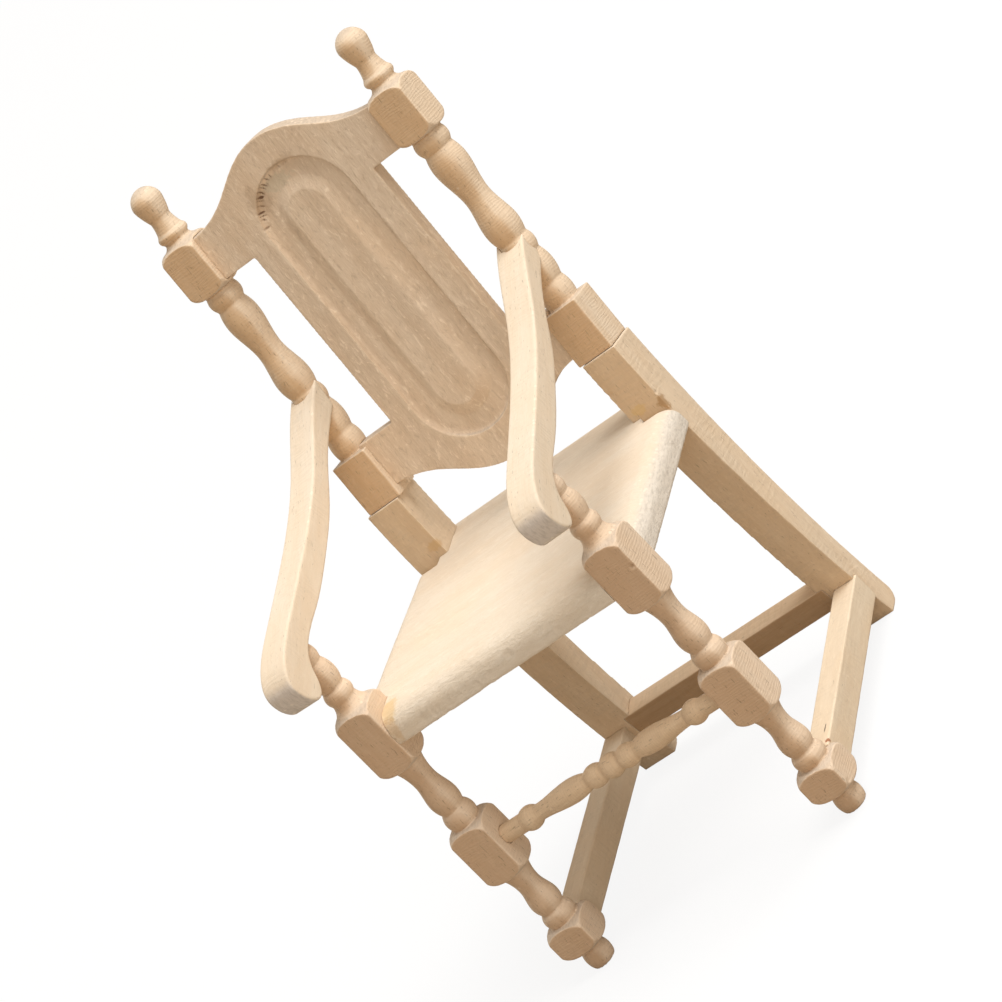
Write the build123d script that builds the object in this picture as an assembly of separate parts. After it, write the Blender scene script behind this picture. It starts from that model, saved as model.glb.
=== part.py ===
"""Dolls house carved high-back armchair in pale wood, one twelfth scale.

Millimetres, +Z up. The chair faces -Y; "left" is the -X side and "right" the +X side, as seen
from in front. Every piece is drawn with the front legs upright and their feet on Z = 0. The
finished chair is then leaned back by LEAN so that all four feet stand flat on the floor, and
moved so that the middle of its box is over the origin.
"""
import math
import os

from build123d import *

# ---- overall sizes -------------------------------------------------------------------------
LEG_SPACING = 38.4          # between the axes of the front legs
POST_SPACING = 34.0         # between the axes of the back posts
RAKE = 8.5                  # lean of the back against the front legs, degrees
LEAN = 4.1                  # lean of the front legs against the upright, degrees
STOCK = 5.2                 # side of the square blanks of front legs and back posts
EDGE = 0.3                  # sanded radius of the long square edges
SHOULDER = 1.4              # height of a lathe-rounded shoulder of a square block
LET_IN = 1.6                # depth of a turned end in the piece that carries it
HOUSING = 0.9               # depth of a square end in the piece that carries it

# ---- front legs: heights of the sections from the floor upwards --------------------------------
FOOT = 2.8
LOW_BLOCK = 4.1
LOWER_BALUSTER = 8.5
MID_BLOCK = 7.9
UPPER_BALUSTER = 10.0
SEAT_BLOCK = 8.9
ARM_COLUMN = 9.0

# ---- back posts: heights along the raked axis ----------------------------------------------------
POST_FOOT_Y = 32.9          # middle of the underside of the lower block
POST_FOOT_Z = 49.3
POST_BLOCK = 6.9
POST_COLUMN = 24.6
TOP_BLOCK = 6.9
FINIAL_R = 2.0

# ---- rear legs: side outline as (y, z), from the seam down to the floor ----------------------------
REAR_LEG_W = 4.9
REAR_LEG_OUT = 0.4          # a rear leg stands this much further out than its post
REAR_FRONT = [(30.2, 51.0), (29.8, 38.0), (30.9, 24.0), (32.6, 12.0), (35.2, 1.0)]
REAR_BACK = [(38.6, 1.0), (36.9, 10.0), (35.4, 24.0), (35.1, 38.0), (35.8, 51.0)]
HEEL_R = 1.5

# ---- back panel ---------------------------------------------------------------------------------------
PANEL_T = 2.3
PANEL_SET = 1.55            # front face of the panel ahead of the axes of the posts
SPLAT_W = 19.5
CREST = 10.9                # height of the crest above the side slots, in the middle
CREST_HUMP = 4.8            # of which the serpentine edge rises this much
RAIL = 11.4                 # depth of the lower rail below the side slots, in the middle
RAIL_HUMP = 5.1
SLOT_MARGIN = 0.45          # side slots run this far past the ends of the turned column
GROOVE_W = 2.4
GROOVE_DEPTH = 0.65
FIELD_SLOPE = 1.5           # width of the sloping rim of the field inside the groove
OVAL_W = 13.0               # outside width of the routed oval
OVAL_RUN = 7.1              # the oval runs this far past the ends of the slots

# ---- seat ------------------------------------------------------------------------------------------------
SEAT_T = 3.9
SEAT_BOTTOM = 36.0          # underside at the front edge
SEAT_PITCH = 1.9            # rise towards the back against the front legs, degrees
SEAT_DEPTH = 38.5
SEAT_INSET = 0.3            # sides of the seat inside the outer faces of the front leg blocks
SEAT_TAPER = 1.0            # narrowing of each side from front to back
SEAT_NOSE = 2.3             # rounding of the upper front and side edges
SEAT_ARRIS = 0.5            # rounding of the lower front and side edges
SEAT_CORNER = 1.0           # rounded corner in front of each rear leg

# ---- arms: side outline of the upper edge as (y, z), from the post forwards ---------------------------------
ARM_W = 4.1
ARM_T = 3.8
ARM_IN = 0.25               # middle of the arm inside the axis of the leg
ARM_TOP = [(35.5, 65.7), (29.5, 63.55), (23.7, 60.95), (16.2, 58.45), (8.1, 56.55), (0.5, 55.0)]
KNUCKLE_REACH = 8.0         # front of the knuckle ahead of the leg axis
KNUCKLE_DROP = 7.9          # lowest point of the knuckle below the upper edge over the leg
ARM_EDGE = 0.3

# ---- stretchers --------------------------------------------------------------------------------------------------
FRONT_STRETCHER_Z = 19.4
SIDE_W = 3.4
SIDE_T = 3.7
SIDE_TOP_Z = 6.9            # upper face over the front leg axis
SIDE_REAR_OUT = 0.9         # the rear end stands this much further out than the rear leg
REAR_T = 3.3
REAR_DEPTH = 3.0
REAR_AT = 0.81              # place of the rear stretcher along the front outline of the leg
STRETCHER_EDGE = 0.15

HALF = STOCK / 2
CORNER = HALF * math.sqrt(2) - 0.05
LOWER_BALUSTER_Z = FOOT + LOW_BLOCK
MID_BLOCK_Z = LOWER_BALUSTER_Z + LOWER_BALUSTER
SEAT_BLOCK_Z = MID_BLOCK_Z + MID_BLOCK + UPPER_BALUSTER
LEG_TOP = SEAT_BLOCK_Z + SEAT_BLOCK + ARM_COLUMN
TOP_BLOCK_Z = POST_BLOCK + POST_COLUMN
LEG_X = LEG_SPACING / 2
POST_X = POST_SPACING / 2
REAR_LEG_X = POST_X + REAR_LEG_OUT
SIDES = {"left": -1, "right": 1}


class Turning:
    """Half outline of a piece turned on a lathe, drawn from its lower end upwards."""

    def __init__(self, radius, height=0.0):
        self.foot = height
        self.at = (radius, height)
        self.edges = [Line((0, height), self.at)]

    def line(self, radius, rise=0.0):
        end = (radius, self.at[1] + rise)
        self.edges.append(Line(self.at, end))
        self.at = end

    def bead(self, belly, radius, rise):
        end = (radius, self.at[1] + rise)
        middle = (belly, self.at[1] + rise / 2)
        self.edges.append(ThreePointArc(self.at, middle, end))
        self.at = end

    def sweep(self, *points):
        """Smooth curve through points given as radius and rise above the present height."""
        placed = [self.at]
        for radius, rise in points:
            placed.append((radius, self.at[1] + rise))
        self.edges.append(Spline(*placed))
        self.at = placed[-1]

    def dome(self):
        """Quarter circle on to the axis."""
        radius, height = self.at
        middle = (radius * math.sqrt(0.5), height + radius * math.sqrt(0.5))
        self.edges.append(ThreePointArc(self.at, middle, (0, height + radius)))
        self.at = (0, height + radius)

    def block(self, rise):
        """Square section, whose two shoulders the lathe has rounded."""
        flat = HALF - 0.15
        self.line(flat)
        self.bead(HALF + 0.8, CORNER, SHOULDER)
        self.line(CORNER, rise - 2 * SHOULDER)
        self.bead(HALF + 0.8, flat, SHOULDER)

    def solid(self):
        top = (0, self.at[1])
        edges = list(self.edges)
        if self.at[0] > 0:
            edges.append(Line(self.at, top))
        edges.append(Line(top, (0, self.foot)))
        return revolve(Plane.XZ * make_face(edges), Axis.Z)


def square_bar(bottom, top):
    return Pos(0, 0, bottom) * extrude(RectangleRounded(STOCK, STOCK, EDGE), top - bottom)


def raked(shape):
    """From upright on the origin to the leaning frame of the back."""
    return Pos(0, POST_FOOT_Y, POST_FOOT_Z) * Rot(X=-RAKE) * shape


def floor_block():
    """Everything above the floor, in the frame of the upright front legs."""
    return Rot(X=LEAN) * Pos(0, 0, 100) * Box(200, 200, 200)


def smooth(points):
    return Spline(*[(y, z) for y, z in points])


def sawn(outline, width):
    """Board cut to a side outline drawn as (y, z), centred across its width."""
    return Pos(-width / 2, 0, 0) * extrude(Plane.YZ * outline, width)


# ---- turned pieces -------------------------------------------------------------------------------------
def baluster(leg, length):
    """Ring, groove and vase between two square blocks of a front leg."""
    leg.line(1.8)
    leg.bead(2.1, 1.6, 0.24 * length)
    leg.sweep((1.9, 0.09 * length), (1.92, 0.2 * length), (1.52, 0.42 * length),
              (1.54, 0.54 * length), (2.1, 0.76 * length))


def front_leg(side):
    leg = Turning(1.4, -0.3)
    leg.bead(1.8, 1.5, FOOT - 0.1)
    leg.line(1.75, 0.4)
    leg.block(LOW_BLOCK)
    baluster(leg, LOWER_BALUSTER)
    leg.block(MID_BLOCK)
    baluster(leg, UPPER_BALUSTER)
    leg.block(SEAT_BLOCK)
    leg.sweep((1.85, 0.75), (1.62, 1.5))
    leg.bead(1.86, 1.46, 1.8)
    leg.bead(1.9, 1.46, 3.6)
    leg.bead(1.68, 1.4, LEG_TOP - leg.at[1])
    leg.line(1.4, LET_IN * 0.6)
    return Pos(side * LEG_X, 0, 0) * (leg.solid() & square_bar(-1, LEG_TOP + LET_IN))


def back_post(side):
    post = Turning(HALF)
    post.line(CORNER)
    post.line(CORNER, POST_BLOCK)
    post.line(1.96)
    post.bead(2.16, 1.86, 2.8)
    post.bead(2.22, 1.84, 4.0)
    post.bead(2.18, 1.88, 2.35)
    post.sweep((2.24, 2.2), (1.66, 6.05), (2.26, 11.1), (1.86, 13.2))
    post.bead(2.26, 1.9, TOP_BLOCK_Z - post.at[1])
    post.block(TOP_BLOCK)
    post.sweep((1.7, 0.5), (1.62, 0.75))
    post.bead(2.02, 1.74, 1.15)
    post.sweep((1.52, 0.75), (1.38, 1.75))
    post.sweep((1.72, 0.95), (FINIAL_R, 2.25))
    post.dome()
    return raked(Pos(side * POST_X, 0, 0) * (post.solid() & square_bar(-1, 60)))


def front_stretcher():
    length = LEG_SPACING - STOCK + 2 * LET_IN
    bar = Turning(1.15, -length / 2)
    bar.line(1.15, LET_IN + 2.9)
    bar.bead(1.52, 1.02, 2.3)
    bar.sweep((1.08, 1.2), (1.46, 5.6), (1.02, 7.7))
    middle = -bar.at[1] * 2 / 3
    for belly in (1.46, 1.52, 1.46):
        bar.bead(belly, 1.02, middle)
    bar.sweep((1.46, 2.1), (1.08, 6.5), (1.02, 7.7))
    bar.bead(1.52, 1.15, 2.3)
    bar.line(1.15, LET_IN + 2.9)
    return Pos(0, 0, FRONT_STRETCHER_Z) * Rot(Y=90) * bar.solid()


# ---- sawn pieces ------------------------------------------------------------------------------------------
def rear_leg(side):
    front = smooth(REAR_FRONT)
    back = smooth(REAR_BACK)
    foot = Line(REAR_FRONT[-1], REAR_BACK[0])
    top = Line(REAR_BACK[-1], REAR_FRONT[0])
    outline = make_face([front, foot, back, top])
    leg = sawn(outline, REAR_LEG_W) & floor_block()
    above = raked(Pos(0, 0, 50) * Box(60, 60, 100))
    leg = leg - above
    heel = leg.edges().filter_by(lambda e: abs(e.center().X) < 0.01 and e.center().Z < FOOT * 2)
    leg = fillet(heel.sort_by(Axis.Y)[-1], HEEL_R)
    return Pos(side * REAR_LEG_X, 0, 0) * leg


def rear_stretcher():
    front = smooth(REAR_FRONT)
    corner = front @ REAR_AT
    down = front % REAR_AT
    tilt = math.degrees(math.atan2(down.X, -down.Y))
    length = 2 * REAR_LEG_X - REAR_LEG_W + 2 * HOUSING
    bar = Box(length, REAR_DEPTH, REAR_T, align=(Align.CENTER, Align.MIN, Align.MAX))
    bar = fillet(bar.edges().filter_by(Axis.X), STRETCHER_EDGE)
    return Pos(0, corner.X, corner.Y) * Rot(X=tilt) * bar


def side_stretcher(side):
    front_y = HALF - HOUSING
    rear_y = (smooth(REAR_FRONT) @ REAR_AT).X + HOUSING
    length = (rear_y - front_y) / math.cos(math.radians(LEAN))
    bar = Box(SIDE_W, length, SIDE_T, align=(Align.CENTER, Align.MIN, Align.MAX))
    bar = fillet(bar.edges().filter_by(Axis.Y), STRETCHER_EDGE)
    inward = LEG_X - REAR_LEG_X - SIDE_REAR_OUT
    turn = side * math.degrees(math.atan2(inward, rear_y))
    top = SIDE_TOP_Z + front_y * math.tan(math.radians(LEAN))
    return Pos(side * LEG_X, front_y, top) * Rot(Z=turn) * Rot(X=LEAN) * bar


def serpentine(half, base, rise):
    """Upper edge of the crest from right to left: hump in the middle, nearly level at the posts."""
    right = [(1.0, 0.0), (0.78, 0.05), (0.6, 0.25), (0.38, 0.65), (0.12, 0.98)]
    points = [(half * x, base + rise * z) for x, z in right]
    mirror = [(-x, z) for x, z in reversed(points)]
    return Spline(*points, *mirror)


def back_panel():
    half = POST_X - HALF + HOUSING
    slot_top = TOP_BLOCK_Z + SLOT_MARGIN
    slot_bottom = POST_BLOCK + SLOT_MARGIN
    crest = slot_top + CREST - CREST_HUMP
    rail = slot_bottom - RAIL + RAIL_HUMP
    upper = serpentine(half, crest, CREST_HUMP)
    lower = serpentine(half, rail, -RAIL_HUMP)
    left = Line((-half, crest), (-half, rail))
    right = Line((half, rail), (half, crest))
    sheet = make_face([upper, left, lower, right])
    gap = half - SPLAT_W / 2
    slot = Rectangle(2 * gap, slot_top - slot_bottom)
    for side in SIDES.values():
        sheet -= Pos(side * half, (slot_top + slot_bottom) / 2) * slot
    panel = extrude(Plane.XZ * sheet, PANEL_T)
    panel = Pos(0, PANEL_T - PANEL_SET, 0) * panel
    groove = routed_oval(slot_top + OVAL_RUN, slot_bottom - OVAL_RUN)
    return raked(panel - Pos(0, -PANEL_SET, 0) * groove)


def stadium(height, inset):
    return SlotOverall(height - 2 * inset, OVAL_W - 2 * inset, rotation=90)


def routed_oval(top, bottom):
    """Groove with a coved outer wall, round a field whose rim slopes up to the front face."""
    height = top - bottom
    face = Plane.XZ * Pos(0, (top + bottom) / 2)
    pocket = extrude(face * stadium(height, 0), GROOVE_DEPTH, both=True)
    pocket = fillet(pocket.edges().group_by(Axis.Y)[-1], GROOVE_DEPTH * 0.8)
    foot = Pos(0, GROOVE_DEPTH, 0) * face * stadium(height, GROOVE_W)
    crown = face * stadium(height, GROOVE_W + FIELD_SLOPE)
    return pocket - loft([foot, crown])


def seat():
    """Board whose rear corners are cut away beside and behind the rear legs."""
    front = -HALF + 0.1
    notch = smooth(REAR_FRONT) @ 0.26
    reach = notch.X - front + 0.35
    wide = LEG_X + HALF - SEAT_INSET
    narrow = wide - SEAT_TAPER
    tongue = REAR_LEG_X - REAR_LEG_W / 4
    right = [(wide, 0), (narrow, reach), (tongue, reach), (tongue, SEAT_DEPTH)]
    left = [(-x, y) for x, y in reversed(right)]
    board = extrude(make_face(Polyline(*right, *left, close=True)), SEAT_T)
    corners = board.edges().filter_by(Axis.Z)
    board = fillet(corners.filter_by(lambda e: e.center().X ** 2 > (narrow - 0.01) ** 2
                                     and e.center().Y > 1), SEAT_CORNER)
    rims = board.edges().filter_by(lambda e: e.center().Y < reach - 0.01)
    upper = rims.filter_by(lambda e: e.center().Z > SEAT_T - 0.01)
    board = fillet(upper, SEAT_NOSE)
    rims = board.edges().filter_by(lambda e: e.center().Y < reach - 0.01)
    lower = rims.filter_by(lambda e: e.center().Z < 0.01)
    board = fillet(lower, SEAT_ARRIS)
    return Pos(0, front, SEAT_BOTTOM) * Rot(X=SEAT_PITCH) * board


def arm_outline():
    upper = smooth(ARM_TOP)
    over_leg = ARM_TOP[-1]
    low = over_leg[1] - KNUCKLE_DROP
    nose = Spline(over_leg, (-4.2, over_leg[1] - 1.2), (-KNUCKLE_REACH, low + 3.4),
                  (-KNUCKLE_REACH + 2.4, low), (-KNUCKLE_REACH + 4.8, low + 1.9),
                  tangents=[upper % 1, (1, 1.9)])
    throat = nose @ 1
    under = []
    for part in (0.84, 0.62, 0.42, 0.22, 0.0):
        point = upper @ part
        along = upper % part
        under.append((point.X - along.Y * -ARM_T, point.Y + along.X * ARM_T))
    lower = Spline((throat.X, throat.Y), *under, tangents=[(1, 1.9), under_tangent(upper)])
    rear = Line(under[-1], ARM_TOP[0])
    return make_face([upper, nose, lower, rear])


def under_tangent(upper):
    along = upper % 0
    return (-along.X, -along.Y)


def arm(side):
    bar = sawn(arm_outline(), ARM_W)
    long_edges = bar.edges().filter_by(lambda e: abs(abs(e.center().X) - ARM_W / 2) < 0.01)
    bar = fillet(long_edges, ARM_EDGE)
    turn = math.degrees(math.atan2(LEG_X - POST_X, POST_FOOT_Y + HALF))
    return Pos(side * (LEG_X - ARM_IN), 0, 0) * Rot(Z=side * turn) * bar


# ---- assembly -------------------------------------------------------------------------------------------------
def chair():
    panel = back_panel()
    bars = {"front_stretcher": front_stretcher(), "rear_stretcher": rear_stretcher()}
    pieces = dict(bars)
    board = seat()
    for name, side in SIDES.items():
        leg = front_leg(side)
        rear = rear_leg(side)
        post = back_post(side)
        rail = side_stretcher(side)
        board = board - leg - rear
        pieces["arm_" + name] = arm(side) - leg - post
        pieces["back_post_" + name] = post - panel
        pieces["front_leg_" + name] = (leg - bars["front_stretcher"] - rail) & floor_block()
        pieces["rear_leg_" + name] = rear - bars["rear_stretcher"] - rail
        pieces["side_stretcher_" + name] = rail
    pieces["back_panel"] = panel
    pieces["seat"] = board
    return pieces


def stand(pieces):
    """Lean the chair back on to its four feet and centre its box over the origin."""
    leaned = {name: Rot(X=-LEAN) * shape for name, shape in pieces.items()}
    middle = Compound(children=list(leaned.values())).bounding_box().center()
    return {name: Pos(0, -middle.Y, 0) * shape for name, shape in leaned.items()}


def main():
    os.makedirs("parts", exist_ok=True)
    for name, shape in sorted(stand(chair()).items()):
        solids = shape.solids()
        box = shape.bounding_box()
        print(name, "solids", len(solids), "volume", round(shape.volume, 1), "mm3",
              "box", [round(v, 1) for v in (*box.min, *box.max)])
        export_step(solids[0] if len(solids) == 1 else shape, os.path.join("parts", name + ".step"))


main()
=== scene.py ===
"""Looks of a dolls house armchair in raw, unfinished wood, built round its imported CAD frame."""

# %% [markdown]
# # A dolls house armchair in raw wood
#
# The real object is a one-twelfth scale armchair: lathe-turned front legs and back posts, a
# routed panel between the posts, a plain board for a seat, bandsawn arms and thin stretchers.
# Nothing is painted or varnished, so its whole look is wood: fibres, pores, end grain, torn
# fuzz from blunt tools, faint lathe rings and a few specks of dried glue.
#
# The shapes come from the CAD frame. This lesson adds what a workshop leaves on them: worn
# corners, tool marks cut into the meshes, and materials that follow the grain of every board.

import math

import bpy
import numpy as np
from mathutils import Matrix, Vector


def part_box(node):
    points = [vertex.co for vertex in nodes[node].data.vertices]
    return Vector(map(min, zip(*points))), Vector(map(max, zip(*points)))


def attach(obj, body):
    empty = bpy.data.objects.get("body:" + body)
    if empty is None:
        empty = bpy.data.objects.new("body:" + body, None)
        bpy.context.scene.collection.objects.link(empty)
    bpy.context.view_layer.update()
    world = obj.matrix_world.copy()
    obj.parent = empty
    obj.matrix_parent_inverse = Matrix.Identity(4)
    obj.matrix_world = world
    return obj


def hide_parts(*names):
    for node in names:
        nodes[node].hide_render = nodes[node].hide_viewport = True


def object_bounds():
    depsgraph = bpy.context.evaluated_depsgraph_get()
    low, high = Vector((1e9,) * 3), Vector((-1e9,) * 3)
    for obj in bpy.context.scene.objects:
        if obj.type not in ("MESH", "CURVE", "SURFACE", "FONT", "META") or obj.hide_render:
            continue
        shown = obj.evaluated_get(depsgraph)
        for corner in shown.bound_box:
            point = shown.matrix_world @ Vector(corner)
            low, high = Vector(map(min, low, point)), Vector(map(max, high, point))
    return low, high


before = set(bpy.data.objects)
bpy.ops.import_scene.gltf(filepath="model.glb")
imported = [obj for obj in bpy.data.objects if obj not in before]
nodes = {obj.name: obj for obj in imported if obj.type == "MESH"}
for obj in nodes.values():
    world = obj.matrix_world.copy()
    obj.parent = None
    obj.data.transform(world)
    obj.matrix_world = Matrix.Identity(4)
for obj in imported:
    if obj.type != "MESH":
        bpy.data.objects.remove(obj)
cad_low, cad_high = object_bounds()
print("pieces in the frame:", len(nodes))
print("height of the chair, mm:", round((cad_high.z - cad_low.z) * 1000, 2))

# %% [markdown]
# ## Directions of the pieces
#
# A board shows its character through the direction of its grain, so the first thing to settle
# is which way each piece was cut. The legs lean back a little and the back leans back more.
# Both angles are read from the frame, as the slope between the ends of a leg and of a post.

# %% lean of the legs and rake of the back
MM = 0.001


def middle(low, high):
    return [(a + b) / 2 for a, b in zip(low, high)]


def slope_of(node):
    """Angle from upright of the line up the middle of a long piece, towards the back."""
    points = np.array([v.co for v in nodes[node].data.vertices])
    height = points[:, 2]
    top = points[height > height.max() - 5 * MM]
    foot = points[height < height.min() + 5 * MM]
    run = top.mean(axis=0) - foot.mean(axis=0)
    return math.atan2(run[1], run[2])


leg_lean = slope_of("front_leg_right")
back_rake = slope_of("back_post_right")
UP_LEG = Vector((0, math.sin(leg_lean), math.cos(leg_lean)))
UP_BACK = Vector((0, math.sin(back_rake), math.cos(back_rake)))
SIDEWAYS = Vector((1, 0, 0))
TO_BACK = Vector((0, 1, 0))
print("front legs lean back", round(math.degrees(leg_lean), 2), "degrees")
print("back posts lean back", round(math.degrees(back_rake), 2), "degrees")

# %% [markdown]
# ## From CAD faces to worked wood
#
# A CAD face is perfectly flat and its corners are perfectly even. Real sanded pieces are a
# little hollow here and proud there, and their corners wander. Each node is therefore copied,
# rebuilt as an even skin of small quads (voxel remesh), and its points are moved inwards by
# a few hundredths of a millimetre. Inwards only: the frame's size is the truth, and the
# finished piece has to stay inside it.
#
# The movement comes from smooth value noise. It is worked out with numpy for all points at
# once, from a hash of whole-number cells, so it needs no random state.

# %% value noise on points
def cell_value(cells, seed):
    """Repeatable number between 0 and 1 for whole-number cells."""
    mixed = cells[..., 0] * 374761393 + cells[..., 1] * 668265263 + cells[..., 2] * 2147483647
    mixed = (mixed + seed * 1274126177) & 0xFFFFFFFF
    mixed = ((mixed ^ (mixed >> 13)) * 1274126177) & 0xFFFFFFFF
    mixed = mixed ^ (mixed >> 16)
    return (mixed & 0xFFFF) / 65535.0


def value_noise(points, seed):
    """Smooth noise between -1 and 1, one cell to the unit."""
    base = np.floor(points).astype(np.int64)
    part = points - base
    part = part * part * (3 - 2 * part)
    total = np.zeros(len(points))
    for corner in range(8):
        step = np.array([corner & 1, (corner >> 1) & 1, (corner >> 2) & 1])
        weight = np.prod(np.where(step == 1, part, 1 - part), axis=1)
        total += weight * cell_value(base + step, seed)
    return total * 2 - 1


# %% places along and across the grain, in millimetres
def grain_frame(along):
    """Rows: along the grain, across it, and through the board."""
    along = Vector(along).normalized()
    helper = SIDEWAYS if abs(along.x) < 0.7 else Vector((0, 0, 1))
    across = along.cross(helper).normalized()
    return np.array([along, along.cross(across), across])


def grain_places(points, along):
    return points / MM @ grain_frame(along).T


# %% rebuild a node as an even skin
SKIN = 0.13 * MM


def even_skin(name, node):
    """Copy of a CAD node as a fine, even mesh that rides on the chair in its place."""
    source = nodes[node]
    rough = source.copy()
    rough.data = source.data.copy()
    rough.name = "rough_copy"
    bpy.context.scene.collection.objects.link(rough)
    weld = rough.modifiers.new("close seams", "WELD")
    weld.merge_threshold = 0.002 * MM
    remesh = rough.modifiers.new("even quads", "REMESH")
    remesh.mode = "VOXEL"
    remesh.voxel_size = SKIN
    soften = rough.modifiers.new("settle", "SMOOTH")
    soften.factor = 0.5
    soften.iterations = 1
    graph = bpy.context.evaluated_depsgraph_get()
    mesh = bpy.data.meshes.new_from_object(rough.evaluated_get(graph))
    bpy.data.objects.remove(rough)
    mesh.name = name
    mesh.materials.clear()
    piece = bpy.data.objects.new(name, mesh)
    bpy.context.scene.collection.objects.link(piece)
    mesh.shade_smooth()
    return piece


def read_skin(piece):
    """Points and outward normals of a mesh, as arrays."""
    count = len(piece.data.vertices)
    points = np.empty(count * 3)
    normals = np.empty(count * 3)
    piece.data.vertices.foreach_get("co", points)
    piece.data.vertex_normals.foreach_get("vector", normals)
    return points.reshape(-1, 3), normals.reshape(-1, 3)


def press_in(piece, depth, normals):
    """Move every point inwards by its own depth in millimetres, never outwards."""
    points, _ = read_skin(piece)
    points = points - normals * (np.maximum(depth, 0) * MM)[:, None]
    piece.data.vertices.foreach_set("co", points.ravel())
    piece.data.update()


# %% [markdown]
# ### Hand sanding
#
# Sandpaper over a finger leaves long shallow waves along the grain and short ones across it.
# Two layers of noise, stretched along the grain, give that. The amount is small, about the
# thickness of a hair, but it bends the highlights along every edge.

# %% sanding marks
def sanded(points, along, depth, seed):
    """Depth of sanding hollows, in millimetres."""
    places = grain_places(points, along)
    long_waves = value_noise(places / (9.0, 3.2, 3.2), seed)
    short_waves = value_noise(places / (2.6, 0.8, 0.8), seed + 1)
    fuzz = value_noise(places / (0.9, 0.22, 0.22), seed + 2)
    return depth * (0.9 + 0.5 * long_waves + 0.25 * short_waves + 0.25 * fuzz)


# %% a nick: a small dent left by a tool or a knock
def nick(points, place, size, depth):
    away = np.linalg.norm(points / MM - np.array(place), axis=1) / size
    return depth * np.clip(1 - away ** 2, 0, 1) ** 1.5


# %% [markdown]
# ## Making the pieces
#
# Every wooden node gets its skin here. The list says how its grain runs, and how deep the
# sanding went. Small nicks sit where square corners meet the lathe's shoulders, because that
# is where short grain breaks out.

# %% list of pieces: node, grain, sanding depth in mm
ARM_SLOPE = Vector((0, 0.96, 0.27))
boards = {
    "seat": (SIDEWAYS, 0.03),
    "back_panel": (UP_BACK, 0.025),
    "front_stretcher": (SIDEWAYS, 0.02),
    "rear_stretcher": (SIDEWAYS, 0.02),
}
for side in ("left", "right"):
    boards["front_leg_" + side] = (UP_LEG, 0.022)
    boards["back_post_" + side] = (UP_BACK, 0.022)
    boards["rear_leg_" + side] = (UP_LEG, 0.022)
    boards["arm_" + side] = (ARM_SLOPE, 0.026)
    boards["side_stretcher_" + side] = (TO_BACK, 0.02)

nicks = {
    "front_leg_right": [((21.3, -21.7, 38.6), 0.45, 0.22), ((21.8, -23.5, 3.7), 0.5, 0.12)],
    "front_leg_left": [((-16.7, -23.2, 22.0), 0.4, 0.14)],
    "rear_leg_right": [((15.3, 11.2, 43.0), 0.5, 0.14), ((20.0, 11.0, 40.2), 0.45, 0.16)],
    "seat": [((2.1, -21.6, 38.0), 0.8, 0.12), ((-9.0, -21.4, 36.4), 0.7, 0.1)],
    "arm_right": [((16.0, -24.6, 52.0), 0.5, 0.12)],
    "back_post_right": [((19.3, 16.0, 80.4), 0.5, 0.14)],
}

# %% [markdown]
# ### Blade marks on the seat
#
# The rounded edge of the seat was shaped with a coarse tool held at a slant, and the torn
# grain stands out as short slanting ridges. They fade out towards the flat top, where the
# sanding block reached. A distance from the edge fades them, and a slanted noise draws them.

# %% blade marks
RIDGE_REACH = 7.0
RIDGE_DEPTH = 0.13
RIDGE_LONG, RIDGE_SHORT, RIDGE_HIGH = 1.9, 0.42, 1.2
SLANT_COS, SLANT_SIN = 0.82, 0.5
seat_low, seat_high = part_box("seat")


def blade_marks(points):
    """Depth of the ridges near the seat's front and side edges, in millimetres."""
    places = points / MM
    front = places[:, 1] - seat_low[1] / MM
    side = seat_high[0] / MM - np.abs(places[:, 0])
    edge = np.minimum(front, side)
    near = np.clip(1 - edge / RIDGE_REACH, 0, 1) ** 1.4
    slanted = np.stack([
        (places[:, 0] * SLANT_COS + places[:, 1] * SLANT_SIN) / RIDGE_LONG,
        (places[:, 1] * SLANT_COS - places[:, 0] * SLANT_SIN) / RIDGE_SHORT,
        places[:, 2] / RIDGE_HIGH,
    ], axis=1)
    ridges = np.abs(value_noise(slanted, 41))
    strips = np.clip(value_noise(slanted / (2.5, 4.0, 2.0), 42) + 0.45, 0, 1)
    return RIDGE_DEPTH * near * ridges * strips


# %% [markdown]
# ### The routed oval
#
# A small ball cutter ran round the panel. Where it turned against the grain at the upper end
# it chattered, and left a row of short cuts up the wall of the groove. The panel wood darkens
# these cuts brown, partly as scorch and partly as painted shadow on the groove's upper wall.
# The cuts are pressed into the mesh with a wave that runs round the end of the oval. The wave
# takes no notice of depth, so it marks the plain back of the board as well. A cutter would
# not, and a test for the front face would stop it.

# %% measure the oval and cut the chatter
OVAL_HALF = 6.5
OVAL_TOP = 84.9
OVAL_BACK = 22.0
oval_centre = OVAL_TOP * UP_BACK.z + OVAL_BACK * UP_BACK.y - OVAL_HALF
print("centre of the oval's upper end, mm up the panel:", round(oval_centre, 2))


def round_the_oval(points):
    """Angle in radians round the oval's upper end, distance from its centre, and height over it."""
    places = points / MM
    rise = places @ np.array(UP_BACK) - oval_centre
    turn = np.arctan2(places[:, 0], rise)
    return turn, np.hypot(places[:, 0], rise), rise


CUT_INSET, CUT_SPREAD = 0.2, 0.38
CUT_FIRST, CUT_LAST = -1.5, 0.45
CUT_RATE = 66
CUT_LOWEST = -3.5


def chatter(points):
    """Cuts, from 0 to 1, round the left of the oval's upper end, at any depth in the board."""
    turn, away, rise = round_the_oval(points)
    wall = np.exp(-((away - OVAL_HALF + CUT_INSET) / CUT_SPREAD) ** 2)
    reach = np.clip((turn - CUT_FIRST) / 0.3, 0, 1) * np.clip((CUT_LAST - turn) / 1.1, 0, 1)
    ragged = value_noise(np.stack([turn * 17, away * 0.9, np.full_like(turn, 3.0)], axis=1), 51)
    cuts = np.clip(np.sin(turn * CUT_RATE + ragged * 3.6) + ragged * 0.5, 0, 1)
    return wall * reach * cuts * (rise > CUT_LOWEST)


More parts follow.
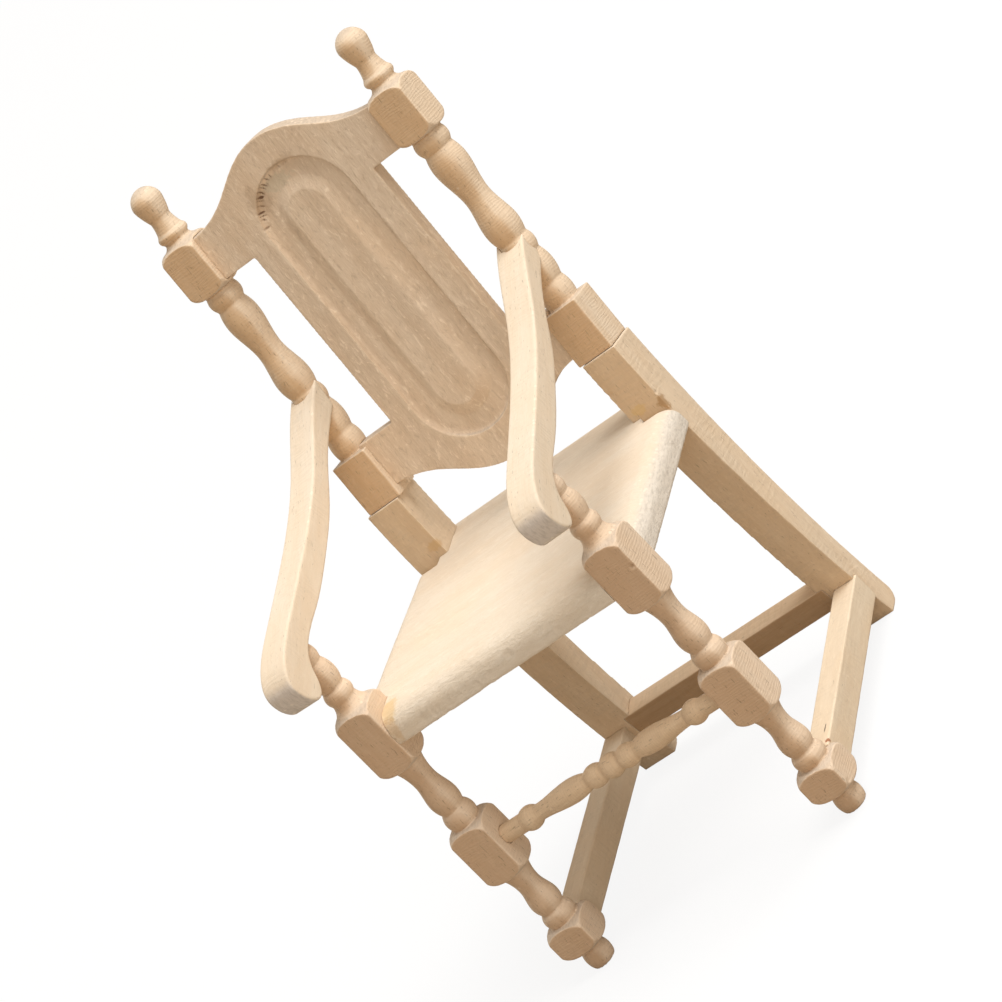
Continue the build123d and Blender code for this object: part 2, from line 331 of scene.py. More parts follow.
def write_marks(piece, name, values):
    """Keep a number for every point, for the materials to read."""
    layer = piece.data.attributes.new(name, "FLOAT", "POINT")
    layer.data.foreach_set("value", np.asarray(values, dtype=np.float32))


# %% build all skins
CHATTER_DEPTH = 0.13
pieces = {}
for number, (node, (along, depth)) in enumerate(sorted(boards.items())):
    piece = even_skin("wood_" + node, node)
    points, normals = read_skin(piece)
    dents = sanded(points, along, depth, 100 + 7 * number)
    for place, size, deep in nicks.get(node, []):
        dents += nick(points, place, size, deep)
    if node == "seat":
        dents += blade_marks(points)
    if node == "back_panel":
        cuts = chatter(points)
        # These cuts also carry the brown on the groove's wall: partly scorch, partly painted
        # shadow.
        write_marks(piece, "scorch_and_shadow", cuts)
        dents += CHATTER_DEPTH * cuts
    press_in(piece, dents, normals)
    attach(piece, "root")
    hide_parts(node)
    pieces[node] = piece
print("points in all skins:", sum(len(p.data.vertices) for p in pieces.values()))

# %% [markdown]
# ## Effects shared by the woods
#
# All the pieces are pale, unfinished wood, but each has its own tone and its own grain
# direction. What they share is built once, as node groups: a way to lay coordinates along the
# grain, a fibre figure with pores, end grain, rubbed corners, spots, and tool marks. Each
# material then uses them with its own numbers.

# %% small helpers for node groups
class Wiring:
    """Adds nodes to one tree, placed left to right, and links them."""

    def __init__(self, tree):
        self.tree = tree
        self.count = 0

    def node(self, kind, **settings):
        made = self.tree.nodes.new(kind)
        made.location = (self.count * 190, -(self.count % 4) * 210)
        self.count += 1
        for key, value in settings.items():
            setattr(made, key, value)
        return made

    def feed(self, socket, value):
        """Link a node's output to a socket, or set the socket to a plain value."""
        if isinstance(value, bpy.types.NodeSocket):
            self.tree.links.new(value, socket)
        else:
            socket.default_value = value

    def maths(self, operation, *values):
        made = self.node("ShaderNodeMath", operation=operation)
        for socket, value in zip(made.inputs, values):
            self.feed(socket, value)
        return made.outputs[0]

    def vector(self, operation, *values, scale=None):
        made = self.node("ShaderNodeVectorMath", operation=operation)
        for socket, value in zip(made.inputs, values):
            self.feed(socket, value)
        if scale is not None:
            self.feed(made.inputs["Scale"], scale)
        if operation in ("DOT_PRODUCT", "LENGTH", "DISTANCE"):
            return made.outputs["Value"]
        return made.outputs["Vector"]

    def noise(self, place, scale, detail=4.0, roughness=0.55):
        made = self.node("ShaderNodeTexNoise")
        self.feed(made.inputs["Vector"], place)
        self.feed(made.inputs["Scale"], scale)
        made.inputs["Detail"].default_value = detail
        made.inputs["Roughness"].default_value = roughness
        return made.outputs["Fac"]

    def ramp(self, value, low, high, to_low=0.0, to_high=1.0, smooth=True):
        made = self.node("ShaderNodeMapRange")
        made.interpolation_type = "SMOOTHSTEP" if smooth else "LINEAR"
        self.feed(made.inputs["Value"], value)
        self.feed(made.inputs["From Min"], low)
        self.feed(made.inputs["From Max"], high)
        made.inputs["To Min"].default_value = to_low
        made.inputs["To Max"].default_value = to_high
        return made.outputs["Result"]

    def mix(self, share, one, other, blend="MIX"):
        made = self.node("ShaderNodeMix", data_type="RGBA", blend_type=blend)
        self.feed(made.inputs["Factor"], share)
        self.feed(made.inputs[6], one)
        self.feed(made.inputs[7], other)
        return made.outputs[2]


# %% start a group with named sockets
SOCKETS = {"float": "NodeSocketFloat", "vector": "NodeSocketVector"}


def new_group(name, takes, gives):
    """Node group with named inputs (kind, default) and outputs (kind)."""
    tree = bpy.data.node_groups.new(name, "ShaderNodeTree")
    for label, (kind, value) in takes.items():
        socket = tree.interface.new_socket(name=label, in_out="INPUT", socket_type=SOCKETS[kind])
        socket.default_value = value
    for label, kind in gives.items():
        tree.interface.new_socket(name=label, in_out="OUTPUT", socket_type=SOCKETS[kind])
    wires = Wiring(tree)
    start = wires.node("NodeGroupInput")
    end = wires.node("NodeGroupOutput")
    return tree, wires, start.outputs, end.inputs


# %% [markdown]
# ### Coordinates along the grain
#
# Every pattern in wood is long in one direction and short in the other two. The group turns
# the position on the object into millimetres along the grain, across it and through it, so
# that one noise can be stretched the same way on a leg, on an arm and on the seat.

# %% group: grain lines
grain_lines, w, take, give = new_group(
    "grain lines",
    {"Along": ("vector", (0, 0, 1)), "Across": ("vector", (1, 0, 0)), "Seed": ("float", 0.0)},
    {"Place": "vector"},
)
where = w.node("ShaderNodeTexCoord").outputs["Object"]
in_mm = w.vector("SCALE", where, scale=1000.0)
through = w.vector("CROSS_PRODUCT", take["Along"], take["Across"])
laid = w.node("ShaderNodeCombineXYZ")
w.feed(laid.inputs["X"], w.vector("DOT_PRODUCT", in_mm, take["Along"]))
w.feed(laid.inputs["Y"], w.vector("DOT_PRODUCT", in_mm, take["Across"]))
w.feed(laid.inputs["Z"], w.vector("DOT_PRODUCT", in_mm, through))
shift = w.vector("SCALE", (13.7, 7.3, 3.9), scale=take["Seed"])
w.feed(give["Place"], w.vector("ADD", laid.outputs["Vector"], shift))
print("group made:", grain_lines.name)

# %% [markdown]
# ### Fibres, growth bands and pores
#
# Close up, pale craft wood shows three things: fine silky fibres, wide soft bands where the
# tree grew faster or slower, and short dark dashes where a pore was cut open lengthways.
# The fibres are a noise stretched about twenty times. The bands use the same noise, larger
# and slower. The dashes are the peaks of a third noise, cut off by a threshold.

# %% group: fibre figure
fibre_figure, w, take, give = new_group(
    "fibre figure",
    {
        "Place": ("vector", (0, 0, 0)),
        "Fineness": ("float", 1.0),
        "Pore Amount": ("float", 0.5),
    },
    {"Fibres": "float", "Bands": "float", "Pores": "float", "Height": "float"},
)
drift = w.noise(w.vector("MULTIPLY", take["Place"], (0.05, 0.3, 0.3)), 1.0, 2.0)
bent = w.node("ShaderNodeCombineXYZ")
w.feed(bent.inputs["Y"], w.maths("MULTIPLY", drift, 2.4))
grain_place = w.vector("ADD", take["Place"], bent.outputs["Vector"])
fine = w.noise(w.vector("MULTIPLY", grain_place, (0.14, 2.6, 2.6)), take["Fineness"], 5.0, 0.62)
silk = w.noise(w.vector("MULTIPLY", grain_place, (0.5, 7.5, 7.5)), take["Fineness"], 3.0, 0.6)
wide = w.noise(w.vector("MULTIPLY", grain_place, (0.03, 0.42, 0.42)), 1.0, 3.0, 0.5)
dash = w.noise(w.vector("MULTIPLY", grain_place, (0.75, 5.2, 5.2)), take["Fineness"], 2.0, 0.5)
limit = w.maths("SUBTRACT", 0.78, w.maths("MULTIPLY", take["Pore Amount"], 0.14))
pores = w.ramp(dash, limit, w.maths("ADD", limit, 0.07))
fibres = w.ramp(w.maths("ADD", w.maths("MULTIPLY", fine, 0.65), w.maths("MULTIPLY", silk, 0.35)),
                0.3, 0.7, smooth=False)
w.feed(give["Fibres"], fibres)
w.feed(give["Bands"], w.ramp(wide, 0.32, 0.68))
w.feed(give["Pores"], pores)
w.feed(give["Height"], w.maths("SUBTRACT", fibres, w.maths("MULTIPLY", pores, 0.9)))
print("group made:", fibre_figure.name)

# %% [markdown]
# ### End grain
#
# Where a cut crosses the fibres, the wood is a bundle of open tubes: it looks greyer, takes
# dirt, and shows dots instead of lines. The group compares the surface direction with the
# grain. Where they agree, the surface is end grain.

# %% group: end grain
end_grain, w, take, give = new_group(
    "end grain",
    {"Place": ("vector", (0, 0, 0)), "Along": ("vector", (0, 0, 1))},
    {"Mask": "float", "Dots": "float"},
)
facing = w.node("ShaderNodeNewGeometry").outputs["Normal"]
straight = w.maths("ABSOLUTE", w.vector("DOT_PRODUCT", facing, take["Along"]))
w.feed(give["Mask"], w.ramp(straight, 0.5, 0.92))
speckle = w.noise(w.vector("MULTIPLY", take["Place"], (0.5, 1.1, 4.2)), 1.0, 4.0, 0.6)
w.feed(give["Dots"], w.ramp(speckle, 0.3, 0.6))
print("group made:", end_grain.name)

# %% [markdown]
# ### Torn fuzz
#
# Soft wood that was sawn and not sanded is covered in torn fibre ends, like felt. They catch
# the light as small pale curls over a slightly darker ground. A twisted noise, cut at two
# levels, gives curls and ground, and the same value raises them in the bump.

# %% group: torn fuzz
torn_fuzz, w, take, give = new_group(
    "torn fuzz",
    {"Place": ("vector", (0, 0, 0)), "Size": ("float", 0.55)},
    {"Curls": "float", "Ground": "float", "Height": "float"},
)
small = w.vector("SCALE", w.vector("MULTIPLY", take["Place"], (0.4, 1.0, 1.0)),
                 scale=w.maths("DIVIDE", 1.0, take["Size"]))
twisted = w.node("ShaderNodeTexNoise")
w.feed(twisted.inputs["Vector"], small)
twisted.inputs["Scale"].default_value = 1.0
twisted.inputs["Detail"].default_value = 5.0
twisted.inputs["Roughness"].default_value = 0.75
twisted.inputs["Distortion"].default_value = 0.7
w.feed(give["Curls"], w.ramp(twisted.outputs["Fac"], 0.53, 0.68))
w.feed(give["Ground"], w.ramp(twisted.outputs["Fac"], 0.47, 0.33))
w.feed(give["Height"], w.ramp(twisted.outputs["Fac"], 0.25, 0.75, smooth=False))
print("group made:", torn_fuzz.name)

# %% [markdown]
# ### Painted shade on the forward faces
#
# The faces of the legs, posts and rear rail that look forwards get a painted shade: a darker
# tone is multiplied in where the mask rises, as the surface turns to the front, and a broad
# noise makes it uneven.

# %% group: painted front shade
painted_front_shade, w, take, give = new_group(
    "painted front shade",
    {"Facing": ("vector", (0, -1, 0)), "Place": ("vector", (0, 0, 0))},
    {"Mask": "float"},
)
facing = w.node("ShaderNodeNewGeometry").outputs["Normal"]
square_on = w.vector("DOT_PRODUCT", facing, take["Facing"])
patches = w.noise(w.vector("MULTIPLY", take["Place"], (0.25, 0.6, 0.6)), 1.0, 3.0)
uneven = w.maths("MULTIPLY", patches, 0.3)
w.feed(give["Mask"], w.ramp(w.maths("ADD", square_on, uneven), 0.75, 1.12))
print("group made:", painted_front_shade.name)

# %% [markdown]
# ### Rubbed corners and painted shade in hollows
#
# Sandpaper and fingers polish the corners paler, and grooves and joints get a painted shade.
# Pointiness tells how sharply the mesh turns at each point. It only works on a dense mesh,
# which is another reason for the even skins.

# %% group: corners and painted hollow shade
corners_and_hollow_shade, w, take, give = new_group(
    "corners and hollow shade",
    {"Place": ("vector", (0, 0, 0)), "Reach": ("float", 0.05)},
    {"Corners": "float", "Hollow Shade": "float"},
)
turn = w.node("ShaderNodeNewGeometry").outputs["Pointiness"]
broken = w.noise(w.vector("MULTIPLY", take["Place"], (0.5, 0.9, 0.9)), 1.0, 4.0)
lift = w.maths("MULTIPLY", w.maths("SUBTRACT", broken, 0.5), 0.08)
sharp = w.maths("ADD", turn, lift)
w.feed(give["Corners"], w.ramp(sharp, 0.52, w.maths("ADD", take["Reach"], 0.52)))
# Painted shade: this mask darkens the hollows where the mesh turns inwards.
w.feed(give["Hollow Shade"], w.ramp(sharp, 0.49, w.maths("SUBTRACT", 0.48, take["Reach"])))
print("group made:", corners_and_hollow_shade.name)

# %% [markdown]
# ### A spot of something
#
# Glue that was squeezed out, a scorch from the cutter mixed with painted shadow on a groove's
# wall, and a rubbed-in stain are all spots: a ragged patch round one place on the object.
# Distance gives the patch, noise its edge.

# %% group: spot
spot, w, take, give = new_group(
    "spot",
    {
        "Centre": ("vector", (0, 0, 0)),
        "Stretch": ("vector", (1, 1, 1)),
        "Size": ("float", 2.0),
        "Ragged": ("float", 0.5),
    },
    {"Mask": "float"},
)
where = w.vector("SCALE", w.node("ShaderNodeTexCoord").outputs["Object"], scale=1000.0)
away = w.vector("DIVIDE", w.vector("SUBTRACT", where, take["Centre"]), take["Stretch"])
edge = w.maths("SUBTRACT", w.noise(where, 1.7, 4.0, 0.6), 0.5)
reach = w.maths("ADD", w.maths("DIVIDE", w.vector("LENGTH", away), take["Size"]),
                w.maths("MULTIPLY", edge, w.maths("MULTIPLY", take["Ragged"], 2.2)))
w.feed(give["Mask"], w.ramp(reach, 1.05, 0.55))
print("group made:", spot.name)

# %% [markdown]
# ### Marks of the lathe and of the saw
#
# A turned piece carries fine rings where the tool stepped along it, and a sawn one carries
# faint straight strokes across the grain. Both are stripes along the length of the piece; the
# rings are regular, the strokes come and go.

# %% group: tool strokes
tool_strokes, w, take, give = new_group(
    "tool strokes",
    {
        "Place": ("vector", (0, 0, 0)),
        "Pitch": ("float", 0.45),
        "Slant": ("float", 0.0),
        "Patchiness": ("float", 0.5),
    },
    {"Height": "float", "Strokes": "float"},
)
split = w.node("ShaderNodeSeparateXYZ")
w.feed(split.inputs["Vector"], take["Place"])
tilted = w.maths("ADD", split.outputs["X"], w.maths("MULTIPLY", split.outputs["Y"], take["Slant"]))
wander = w.noise(w.vector("MULTIPLY", take["Place"], (0.9, 0.25, 0.25)), 1.0, 3.0)
phase = w.maths("ADD", w.maths("DIVIDE", tilted, take["Pitch"]), w.maths("MULTIPLY", wander, 3.0))
wave = w.maths("SINE", w.maths("MULTIPLY", phase, 2 * math.pi))
patch = w.noise(w.vector("MULTIPLY", take["Place"], (0.3, 0.5, 0.5)), 1.0, 2.0)
shown = w.ramp(patch, w.maths("MULTIPLY", take["Patchiness"], 0.55),
               w.maths("ADD", w.maths("MULTIPLY", take["Patchiness"], 0.55), 0.25))
w.feed(give["Height"], w.maths("MULTIPLY", wave, shown))
w.feed(give["Strokes"], w.maths("MULTIPLY", w.ramp(wave, 0.2, 1.0), shown))
print("group made:", tool_strokes.name)

# %% [markdown]
# ## The woods
#
# One recipe makes every wood here, because they are one kind of timber: base tone between
# two shades by the bands, fibres over it, dark pores, greyer end grain, pale corners, and a
# little painted shade in the hollows, and on some woods painted shade on the faces that look
# forwards. What differs is the tone, the grain direction, how fuzzy the surface is and which
# tool marks show, and those are its arguments. Spots are added last.

# %% the wood recipe
def use_group(w, group, **values):
    made = w.node("ShaderNodeGroup")
    made.node_tree = group
    for label, value in values.items():
        w.feed(made.inputs[label.replace("_", " ")], value)
    return made.outputs


def rgb(*linear):
    return (*linear, 1.0)


def shaded(tone, factor, lift=0.0):
    """A tone made darker or lighter, never past white."""
    return rgb(*[min(1.0, c * factor + lift) for c in tone])


def tinted(tone, tint):
    return rgb(*[c * f for c, f in zip(tone, tint)])


WARM_TINT = (0.97, 0.86, 0.74)
HOLLOW_SHADE_TINT = (0.55, 0.45, 0.36)
BUMP_STRENGTH = 0.7
BUMP_DEPTH = 0.035 * MM


def raw_wood(name, along, light, dark, seed, fuzz=1.0, pores=0.5, bands=0.45, curls=0.3,
             torn=0.6, pitch=0.0, slant=0.0, patchy=0.5, end_tone=(0.62, 0.52, 0.42),
             front_shade_tone=None, scorched_and_shadowed=False, spots=()):
    """Raw timber whose fibres run along a direction, between a light and a dark tone."""
    material = bpy.data.materials.new(name)
    material.use_nodes = True
    tree = material.node_tree
    tree.nodes.clear()
    w = Wiring(tree)
    along = Vector(along).normalized()
    across = Vector(grain_frame(along)[2])
    place = use_group(w, grain_lines, Along=along, Across=across, Seed=float(seed))["Place"]
    figure = use_group(w, fibre_figure, Place=place, Fineness=1.0 + 0.25 * fuzz, Pore_Amount=pores)
    ends = use_group(w, end_grain, Place=place, Along=along)
    edges = use_group(w, corners_and_hollow_shade, Place=place)
    cloud = w.ramp(w.noise(w.vector("MULTIPLY", place, (0.09, 0.16, 0.16)), 1.0, 3.0), 0.35, 0.68)
    felt = use_group(w, torn_fuzz, Place=place)
    shade = w.maths("ADD", w.maths("MULTIPLY", figure["Fibres"], 1 - bands),
                    w.maths("MULTIPLY", figure["Bands"], bands))
    tone = w.mix(shade, rgb(*dark), rgb(*light))
    tone = w.mix(w.maths("MULTIPLY", cloud, 0.35), tone, tinted(light, WARM_TINT))
    tone = w.mix(w.maths("MULTIPLY", figure["Pores"], 0.55), tone, shaded(dark, 0.42))
    tone = w.mix(w.maths("MULTIPLY", felt["Curls"], curls), tone, shaded(light, 1.1, 0.03))
    tone = w.mix(w.maths("MULTIPLY", felt["Ground"], curls), tone, shaded(dark, 0.93))
    # Painted shade: faces that look forwards are multiplied by a darker tone.
    if front_shade_tone:
        front_shade = use_group(w, painted_front_shade, Place=place)["Mask"]
        tone = w.mix(front_shade, tone, rgb(*front_shade_tone), blend="MULTIPLY")
    end_mix = w.mix(ends["Dots"], shaded(end_tone, 0.74), rgb(*end_tone))
    tone = w.mix(w.maths("MULTIPLY", ends["Mask"], 0.7), tone, end_mix)
    tone = w.mix(w.maths("MULTIPLY", edges["Corners"], 0.4), tone, shaded(light, 1.12, 0.04))
    # Painted shade: hollows, where the mesh turns inwards, are darkened.
    tone = w.mix(w.maths("MULTIPLY", edges["Hollow Shade"], 0.55), tone, tinted(dark, HOLLOW_SHADE_TINT))
    rough = w.ramp(figure["Fibres"], 0.0, 1.0, 0.86, 0.66, smooth=False)
    height = w.maths("MULTIPLY", figure["Height"], 0.8 * fuzz)
    height = w.maths("ADD", height, w.maths("MULTIPLY", felt["Height"], torn))
    if pitch:
        strokes = use_group(w, tool_strokes, Place=place, Pitch=pitch, Slant=slant,
                            Patchiness=patchy)
        height = w.maths("ADD", height, w.maths("MULTIPLY", strokes["Height"], 0.35))
        tone = w.mix(w.maths("MULTIPLY", strokes["Strokes"], 0.16), tone, shaded(dark, 0.78))
    for centre, stretch, size, ragged, colour, strength, gloss in spots:
        mask = use_group(w, spot, Centre=centre, Stretch=stretch, Size=size, Ragged=ragged)["Mask"]
        mask = w.maths("MULTIPLY", mask, strength)
        tone = w.mix(mask, tone, rgb(*colour))
        rough = w.maths("SUBTRACT", rough, w.maths("MULTIPLY", mask, gloss))
    # Painted shadow, partly scorch: the cuts on the groove's upper wall are darkened brown.
    if scorched_and_shadowed:
        burn_and_shadow = w.node("ShaderNodeAttribute", attribute_name="scorch_and_shadow").outputs["Fac"]
        dark_wall_mask = w.ramp(burn_and_shadow, 0.12, 0.75)
        tone = w.mix(w.maths("MULTIPLY", dark_wall_mask, 0.85), tone, rgb(*SCORCH_AND_SHADOW))
    bump = w.node("ShaderNodeBump")
    bump.inputs["Strength"].default_value = BUMP_STRENGTH
    bump.inputs["Distance"].default_value = BUMP_DEPTH
    w.feed(bump.inputs["Height"], height)
    shader = w.node("ShaderNodeBsdfPrincipled")
    shader.inputs["Specular IOR Level"].default_value = 0.3
    w.feed(shader.inputs["Base Color"], tone)
    w.feed(shader.inputs["Roughness"], rough)
    w.feed(shader.inputs["Normal"], bump.outputs["Normal"])
    out = w.node("ShaderNodeOutputMaterial")
    w.feed(out.inputs["Surface"], shader.outputs["BSDF"])
    print("wood made:", name, "with", len(tree.nodes), "nodes")
    return material


# %% [markdown]
# ### Seat board
#
# The seat is the palest piece, cut across so that its fibres run from side to side. Its two
# side edges are end grain and look chalky. Yellowish glue has dried in the corner by the left
# front leg.

# %% seat wood
GLUE = (0.72, 0.5, 0.22)
# Dark brown for the groove's upper wall: partly scorch, partly painted shadow.
SCORCH_AND_SHADOW = (0.17, 0.085, 0.045)
seat_wood = raw_wood(
    "seat wood", SIDEWAYS, (0.87, 0.78, 0.66), (0.8, 0.68, 0.53), seed=1, fuzz=1.6, pores=0.35,
    bands=0.3, curls=0.35, torn=3.0, end_tone=(0.84, 0.79, 0.72),
    spots=[
        ((-15.6, -19.6, 39.9), (1, 1.5, 1.4), 1.5, 0.5, GLUE, 0.6, 0.25),
        ((-15.9, -21.4, 38.4), (0.8, 0.8, 2.2), 1.2, 0.6, (0.66, 0.42, 0.2), 0.5, 0.2),
    ],
)

# %% [markdown]
# ### Back panel
#
# The panel's face was left from the saw and feels like felt: fibres stand up all over it, so
# its figure is broad and cloudy, greyish tan. The upper end of its groove is darkened, partly
# as scorch from the cutter and partly as painted shadow on the groove's upper wall; the number
# kept at every point of the mesh says where, and spots round that end add to it.

# %% panel wood
FACE_Y, FACE_Z = 12.75, 46.0


def on_panel(x, height):
    """Place on the front face of the back panel, in mm, at a height above the floor."""
    return (x, FACE_Y + (height - FACE_Z) * math.tan(back_rake), height)


panel_wood = raw_wood(
    "panel wood", UP_BACK, (0.86, 0.71, 0.55), (0.68, 0.52, 0.37), seed=2, fuzz=1.8, pores=0.0,
    bands=0.45, curls=0.8, torn=2.6, scorched_and_shadowed=True,
    spots=[
        # The dark brown spots round the oval's upper end are partly scorch and partly painted
        # shadow on the groove's upper wall.
        (on_panel(-4.6, 83.0), (1.6, 4, 2.2), 1.0, 0.8, (0.45, 0.3, 0.18), 0.35, 0.0),
        (on_panel(-1.5, 83.4), (2.6, 4, 1.1), 1.0, 0.7, (0.6, 0.54, 0.4), 0.4, 0.0),
        (on_panel(0.8, 85.1), (2.4, 4, 0.7), 1.0, 0.8, (0.42, 0.27, 0.15), 0.3, 0.0),
    ],
)

# %% [markdown]
# ### Turned posts and legs
#
# Posts and legs came off the same lathe. Their square parts keep the blank's planed faces, and
# the turned parts show rings a third of a millimetre apart. The posts are a shade lighter than
# the legs, and the thin front stretcher is yellower with dark pores.

# %% turned woods
# Painted shade: the last tone given to posts and legs darkens their forward faces.
post_wood = raw_wood("post wood", UP_BACK, (0.86, 0.72, 0.56), (0.76, 0.59, 0.42), seed=3,
                     fuzz=0.7, pores=1.0, pitch=0.36, patchy=0.45, front_shade_tone=(0.84, 0.72, 0.58))
leg_wood = raw_wood("leg wood", UP_LEG, (0.85, 0.7, 0.55), (0.75, 0.58, 0.42), seed=4,
                    fuzz=0.7, pores=1.0, pitch=0.36, patchy=0.45, front_shade_tone=(0.8, 0.7, 0.6))
spindle_wood = raw_wood("spindle wood", SIDEWAYS, (0.84, 0.67, 0.48), (0.66, 0.48, 0.31), seed=5,
                        fuzz=0.8, pores=1.0, pitch=0.3, patchy=0.3)

# %% [markdown]
# ### Sawn legs, arms and stretchers
#
# These were bandsawn to shape and sanded. The arms are creamy with a few brown dashes, and
# their knuckles end in greyer end grain. Brown glue was smeared where the right rear leg
# meets the seat, and one side stretcher has a dark pencil-thin flaw near its front end.

# %% sawn woods
arm_wood = raw_wood("arm wood", ARM_SLOPE, (0.87, 0.77, 0.64), (0.79, 0.66, 0.5), seed=6,
                    fuzz=0.8, pores=0.85, bands=0.35, curls=0.15, pitch=0.7, slant=0.25,
                    patchy=0.7, end_tone=(0.7, 0.64, 0.6))
# Painted shade: the rear legs' last tone darkens their forward faces.
rear_leg_wood = raw_wood(
    "rear leg wood", UP_LEG, (0.85, 0.72, 0.56), (0.72, 0.57, 0.41), seed=7, fuzz=1.2,
    pores=0.8, curls=0.4, pitch=0.8, slant=0.15, patchy=0.65, front_shade_tone=(0.9, 0.84, 0.76),
    spots=[
        ((16.6, 10.8, 39.6), (1.4, 1, 0.8), 1.0, 0.6, GLUE, 0.6, 0.25),
        ((19.7, 10.8, 38.7), (0.9, 1, 1.3), 1.0, 0.7, (0.42, 0.24, 0.1), 0.75, 0.3),
        ((-15.6, 10.8, 40.2), (1.3, 1.2, 0.8), 1.0, 0.6, (0.62, 0.4, 0.18), 0.55, 0.25),
    ],
)
stretcher_wood = raw_wood(
    "stretcher wood", TO_BACK, (0.84, 0.72, 0.56), (0.73, 0.59, 0.43), seed=8, fuzz=0.9,
    pores=0.6, pitch=0.9, patchy=0.75,
    spots=[
        ((19.9, -16.0, 6.9), (0.11, 1.0, 0.6), 1.0, 0.25, (0.07, 0.045, 0.035), 0.9, 0.0),
        ((20.7, -18.7, 6.9), (0.45, 0.35, 0.5), 1.0, 0.5, (0.35, 0.11, 0.04), 0.85, 0.1),
    ],
)
# Painted shade: the rear rail's tones are darker than the other woods', for the shadow it sits in
# under the seat, and its forward faces are darkened too.
shaded_rail_wood = raw_wood("rear rail wood in painted shade", SIDEWAYS, (0.72, 0.56, 0.4), (0.58, 0.43, 0.28), seed=9,
                     fuzz=0.9, pores=0.6, pitch=0.8, patchy=0.7, front_shade_tone=(0.75, 0.66, 0.56))

# %% give each piece its wood
woods = {
    "seat": seat_wood,
    "back_panel": panel_wood,
    "back_post": post_wood,
    "front_leg": leg_wood,
    "front_stretcher": spindle_wood,
    "rear_stretcher": shaded_rail_wood,
    "side_stretcher": stretcher_wood,
    "rear_leg": rear_leg_wood,
    "arm": arm_wood,
}
for node, piece in pieces.items():
    kind = node.replace("_left", "").replace("_right", "")
    piece.data.materials.append(woods[kind])
print("woods given to", len(pieces), "pieces")

# %% [markdown]
# ## Floor and light
#
# A big soft lamp stands high over the sitter's left, so the tops of the boards are the
# brightest and their fronts the darkest. A weaker warm lamp in front and a weak warm sky fill
# the shadows, as the walls of a small room would. A last lamp behind keeps the back of the
# chair readable.
#
# A lamp's power follows from the brightness wanted on a matt white card and its distance, so
# the lamps are set by those two numbers.
#
# A white floor throws a lot of light back up, which would wash out the fronts of the legs. So
# the floor is two things, and neither is quite real. Seen by the camera it is mostly an even
# white glow with a little white paper in it, which keeps only a faint shadow. For light that
# bounces it is a warm grey cloth. The surroundings do the same: white to the camera, and a
# dim warm room to everything else.

# %% floor
def flat_floor(size):
    mesh = bpy.data.meshes.new("floor")
    half = size / 2
    mesh.from_pydata([(-half, -half, 0), (half, -half, 0), (half, half, 0), (-half, half, 0)],
                     [], [(0, 1, 2, 3)])
    floor = bpy.data.objects.new("floor", mesh)
    bpy.context.scene.collection.objects.link(floor)
    floor.location.z = cad_low.z - 0.02 * MM
    return floor


FLOOR_SIZE = 8.0
GLOW_SHARE = 0.88
floor = flat_floor(FLOOR_SIZE)
paper = bpy.data.materials.new("white paper")
paper.use_nodes = True
paper.node_tree.nodes.clear()
w = Wiring(paper.node_tree)
cloth = w.node("ShaderNodeBsdfDiffuse")
cloth.inputs["Color"].default_value = rgb(0.42, 0.37, 0.31)
sheet = w.node("ShaderNodeBsdfDiffuse")
sheet.inputs["Color"].default_value = rgb(0.95, 0.95, 0.95)
glow = w.node("ShaderNodeEmission")
glow.inputs["Color"].default_value = rgb(1.0, 1.0, 1.0)
seen = w.node("ShaderNodeMixShader")
seen.inputs["Fac"].default_value = GLOW_SHARE
w.feed(seen.inputs[1], sheet.outputs["BSDF"])
w.feed(seen.inputs[2], glow.outputs["Emission"])
either = w.node("ShaderNodeMixShader")
w.feed(either.inputs["Fac"], w.node("ShaderNodeLightPath").outputs["Is Camera Ray"])
w.feed(either.inputs[1], cloth.outputs["BSDF"])
w.feed(either.inputs[2], seen.outputs["Shader"])
w.feed(w.node("ShaderNodeOutputMaterial").inputs["Surface"], either.outputs["Shader"])
floor.data.materials.append(paper)

# %% lamps
CENTRE = Vector(middle(cad_low, cad_high))


def soft_lamp(name, towards, brightness, distance, size, colour=(1, 1, 1)):
    """Square lamp that lights a white card facing it at the chair to that brightness."""
    data = bpy.data.lights.new(name, "AREA")
    data.shape = "SQUARE"
    data.size = size
    data.energy = brightness * (math.pi * distance) ** 2
    data.color = colour
    lamp = bpy.data.objects.new(name, data)
    bpy.context.scene.collection.objects.link(lamp)
    direction = Vector(towards).normalized()
    lamp.location = CENTRE + direction * distance
    lamp.rotation_mode = "QUATERNION"
    lamp.rotation_quaternion = direction.to_track_quat("Z", "Y")
    print(name, "gives", brightness, "at", distance, "m")


soft_lamp("key lamp", towards=(0.45, 0.12, 0.88), brightness=1.08, distance=1.3, size=0.9,
          colour=(1.0, 0.985, 0.96))
soft_lamp("front lamp", towards=(0.45, -0.84, 0.3), brightness=0.26, distance=1.5, size=1.2,
          colour=(1.0, 0.9, 0.8))
soft_lamp("back lamp", towards=(-0.75, 0.55, 0.35), brightness=0.24, distance=1.5, size=1.2,
          colour=(1.0, 0.95, 0.88))

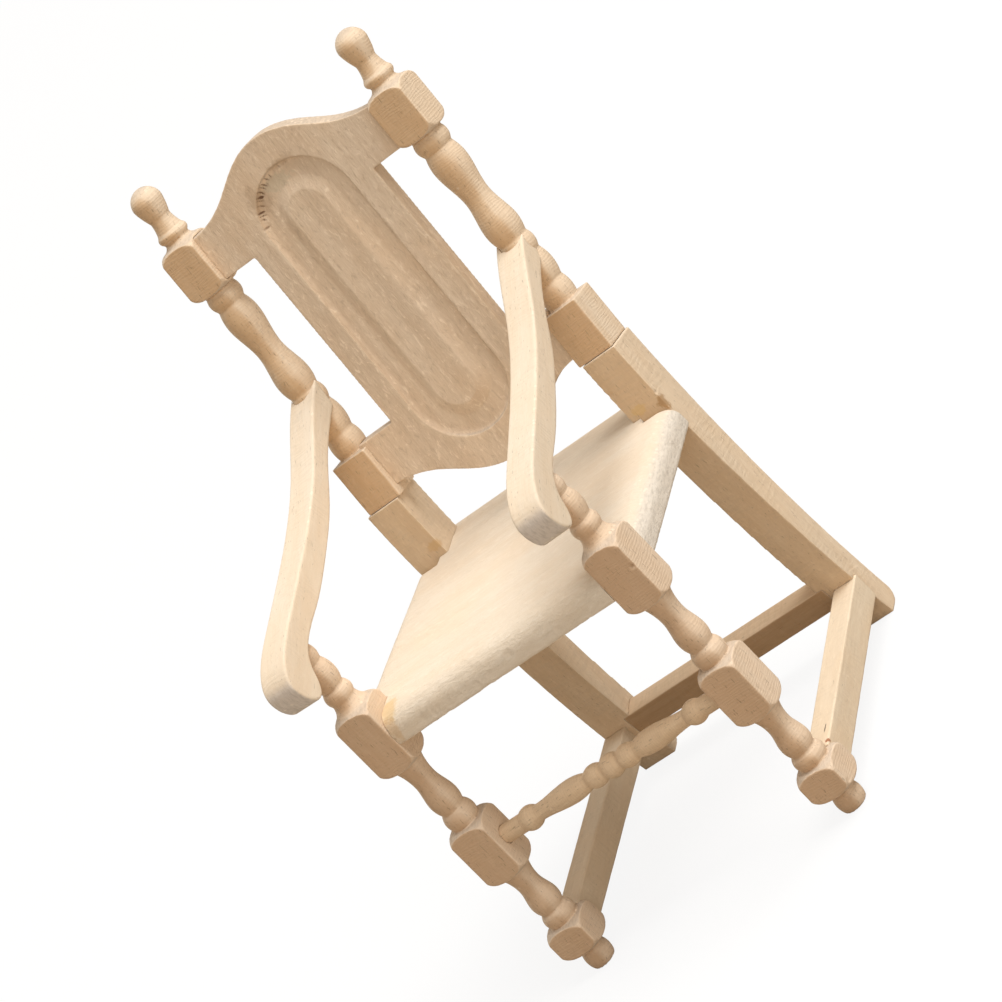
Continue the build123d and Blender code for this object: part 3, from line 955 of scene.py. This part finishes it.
# %% warm sky
world = bpy.data.worlds.new("warm room")
bpy.context.scene.world = world
world.use_nodes = True
world.node_tree.nodes.clear()
w = Wiring(world.node_tree)
walls = w.node("ShaderNodeBackground")
walls.inputs["Color"].default_value = rgb(1.0, 0.9, 0.78)
walls.inputs["Strength"].default_value = 0.33
backdrop = w.node("ShaderNodeBackground")
backdrop.inputs["Color"].default_value = rgb(1.0, 1.0, 1.0)
sky = w.node("ShaderNodeMixShader")
w.feed(sky.inputs["Fac"], w.node("ShaderNodeLightPath").outputs["Is Camera Ray"])
w.feed(sky.inputs[1], walls.outputs["Background"])
w.feed(sky.inputs[2], backdrop.outputs["Background"])
w.feed(w.node("ShaderNodeOutputWorld").inputs["Surface"], sky.outputs["Shader"])
bpy.context.scene.view_settings.view_transform = "Standard"

# %% [markdown]
# ## Camera
#
# The camera looks down on the chair from its front right, through a long lens, and is rolled
# so that the back points to the upper left. Azimuth, elevation and roll are turned into the
# camera's three axes directly.

# %% camera
AZIMUTH, ELEVATION, ROLL = (math.radians(a) for a in (32.53, 19.15, -46.54))
DISTANCE = 574.6 * MM
LENS, SENSOR = 183.87, 36.0
AIM = Vector((1.81, 0.48, 44.38)) * MM
back = Vector((
    math.sin(AZIMUTH) * math.cos(ELEVATION),
    -math.cos(AZIMUTH) * math.cos(ELEVATION),
    math.sin(ELEVATION),
))
level = Vector((math.cos(AZIMUTH), math.sin(AZIMUTH), 0))
upright = back.cross(level)
right = math.cos(ROLL) * level + math.sin(ROLL) * upright
up = math.cos(ROLL) * upright - math.sin(ROLL) * level
camera = bpy.data.objects.new("camera", bpy.data.cameras.new("camera"))
bpy.context.scene.collection.objects.link(camera)
camera.data.sensor_width = SENSOR
camera.data.lens = LENS
camera.data.clip_start = 0.01
camera.data.clip_end = 20.0
camera.rotation_mode = "QUATERNION"
axes = Matrix((right, up, back)).transposed()
camera.rotation_quaternion = axes.to_quaternion()
camera.location = AIM + back * DISTANCE
bpy.context.scene.camera = camera
print("camera at, mm:", [round(v / MM, 1) for v in camera.location])
